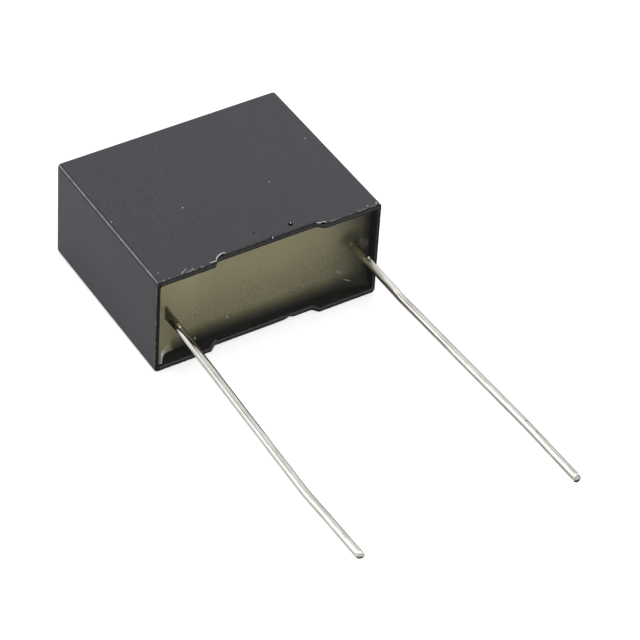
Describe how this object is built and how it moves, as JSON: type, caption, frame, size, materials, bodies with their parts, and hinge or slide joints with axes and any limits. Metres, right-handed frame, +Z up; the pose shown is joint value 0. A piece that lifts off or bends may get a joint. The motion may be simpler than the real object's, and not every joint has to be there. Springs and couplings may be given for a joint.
{
  "type": "box film capacitor",
  "caption": "Film capacitor in a moulded box, cast closed with resin at its open end, with two long wire leads for a circuit board.",
  "frame": {"origin": "midway between the two leads, in the plane of the corner feet that meet the board", "axes": "+X along the pair of leads, +Y into the case towards its closed end, +Z up as the part lies on its lower broad side; the leads leave along -Y"},
  "size_m": [0.0178, 0.0399, 0.0082],
  "materials": {
    "case_plastic": "fine satin grain, as moulded",
    "resin": "smooth cast resin, half gloss, slightly see-through",
    "metallised_film": "silvery metallised film, wound tight",
    "plain_film": "clear plain film, smooth",
    "sprayed_zinc": "rough sprayed metal",
    "solder": "smooth solder",
    "tinned_wire": "bright tinned wire with faint drawing marks"
  },
  "bodies": {
    "root": {"case": "case_plastic", "resin_fill": "resin", "film_roll": "metallised_film", "outer_wrap": "plain_film", "end_spray_left": "sprayed_zinc", "end_spray_right": "sprayed_zinc", "solder_bead_left": "solder", "solder_bead_right": "solder", "lead_left": "tinned_wire", "lead_right": "tinned_wire"}
  },
  "joints": []
}
